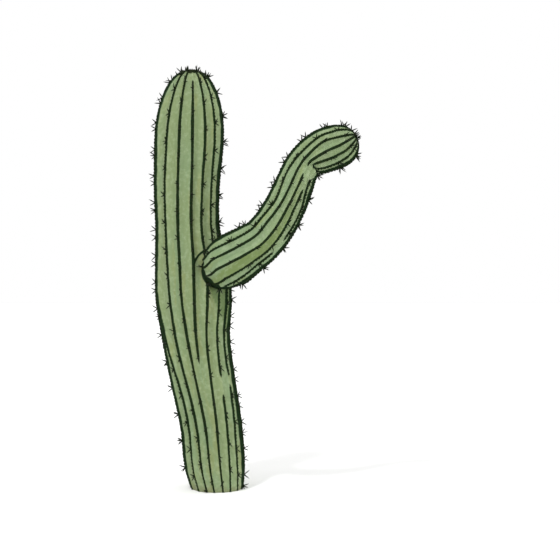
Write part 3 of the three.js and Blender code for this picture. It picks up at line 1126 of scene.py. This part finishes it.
trunk_skin_look = skin_material("trunk_skin", colour(122, 137, 96), colour(119, 138, 101),
                                colour(128, 136, 88), cork_height=0.07, shade_streak=False)
arm_skin_look = skin_material("arm_skin", colour(124, 141, 102), colour(122, 144, 107),
                              colour(127, 141, 88), cork_height=0.001, shade_streak=True)
felt_look = felt_material("areole_felt", colour(17, 36, 12), colour(34, 42, 20))
cap_look = felt_material("tip_felt", colour(16, 32, 12), colour(36, 40, 20))
stout_look = spine_material("stout_spines", colour(14, 26, 12), colour(26, 32, 16))
fine_look = spine_material("fine_spines", colour(20, 34, 15), colour(44, 48, 26))

trunk_skin = make_skin("trunk_skin", TRUNK, TRUNK_RING_STEP, TRUNK_UNEVEN_SEED, trunk_skin_look)
arm_skin = make_skin("arm_skin", ARM, ARM_RING_STEP, ARM_UNEVEN_SEED, arm_skin_look)
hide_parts("trunk")
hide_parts("arm_base", "arm_riser", "arm_tip")
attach(trunk_skin, "root")
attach(arm_skin, "root")

# Each limb's first row seed, its cap's radius, and how many stout and fine spines the cap has.
for limb, label, row_seed, cap, few, many in (
    (TRUNK, "trunk", 100, TRUNK_CAP_RADIUS, 9, 260),
    (ARM, "arm", 150, ARM_CAP_RADIUS, 4, 150),
):
    rows = visible(limb, crest_rows(limb, row_seed))
    stout = joined(stout_spines(rows), cap_spines(limb, cap, few, CAP_STOUT_LENGTH, STOUT_THICK))
    fine = joined(fine_spines(rows), cap_spines(limb, cap, many, CAP_FINE_LENGTH, CAP_FINE_THICK))
    pieces = [
        (new_object(f"{label}_areoles", *areole_mesh(rows), felt_look), "areoles"),
        (tip_cap(f"{label}_tip_felt", limb, cap, cap_look), "areoles"),
        (new_object(f"{label}_stout_spines", *spine_mesh(*stout), stout_look), "spines"),
        (new_object(f"{label}_fine_spines", *needle_mesh(*fine), fine_look, False), "spines"),
    ]
    for piece, slot in pieces:
        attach(piece, "root")


# ---- the studio

def make_floor():
    """A floor far wider than the view."""
    size = 60.0
    corners = [(-size, -size, 0), (size, -size, 0), (size, size, 0), (-size, size, 0)]
    floor = new_object("studio_floor", corners, [np.array([[0, 1, 2, 3]])], floor_material(), False)


def sun_light(name, towards, strength, spread):
    """A soft sun that shines from a direction, given as a vector from the plant."""
    lamp = bpy.data.lights.new(name, "SUN")
    lamp.energy = strength
    lamp.angle = math.radians(spread)
    made = in_scene(name, lamp)
    away = 8.0
    made.location = Vector(towards).normalized() * away
    made.rotation_euler = Vector(towards).to_track_quat("Z", "Y").to_euler()


def make_world():
    """A white studio: bright all round the horizon, dimmer overhead."""
    world = bpy.data.worlds.new("studio")
    world.use_nodes = True
    nodes, links = world.node_tree.nodes, world.node_tree.links
    direction = nodes.new("ShaderNodeTexCoord").outputs["Generated"]
    height = nodes.new("ShaderNodeSeparateXYZ")
    fade = nodes.new("ShaderNodeMapRange")
    fade.interpolation_type = "SMOOTHSTEP"
    for name, value in (("From Min", 0.25), ("From Max", 0.75), ("To Min", 1.0), ("To Max", 0.85)):
        fade.inputs[name].default_value = value
    links.new(direction, height.inputs[0])
    links.new(height.outputs["Z"], fade.inputs["Value"])
    links.new(fade.outputs["Result"], nodes["Background"].inputs["Strength"])
    nodes["Background"].inputs["Color"].default_value = (1, 1, 1, 1)
    bpy.context.scene.world = world


def make_camera():
    """Level with the plant's middle, aimed a little to the arm's side of it."""
    distance, view_width, sensor = 8.0, 4.026, 36.0
    aside, lower = 0.178, 0.006
    middle = (cad_low + cad_high) / 2
    camera = bpy.data.cameras.new("camera")
    camera.sensor_width = sensor
    camera.lens = sensor * distance / view_width
    made = in_scene("camera", camera)
    made.location = (middle.x + aside, -distance, middle.z - lower)
    made.rotation_euler = (math.radians(90), 0, 0)
    bpy.context.scene.camera = made


make_floor()
make_world()
sun_light("key", KEY_LIGHT, strength=1.3, spread=6)
sun_light("fill", (0.20, -0.94, 0.20), strength=1.0, spread=25)
sun_light("side", (1.00, 0.15, 0.35), strength=1.0, spread=20)
make_camera()
bpy.context.scene.view_settings.view_transform = "Standard"
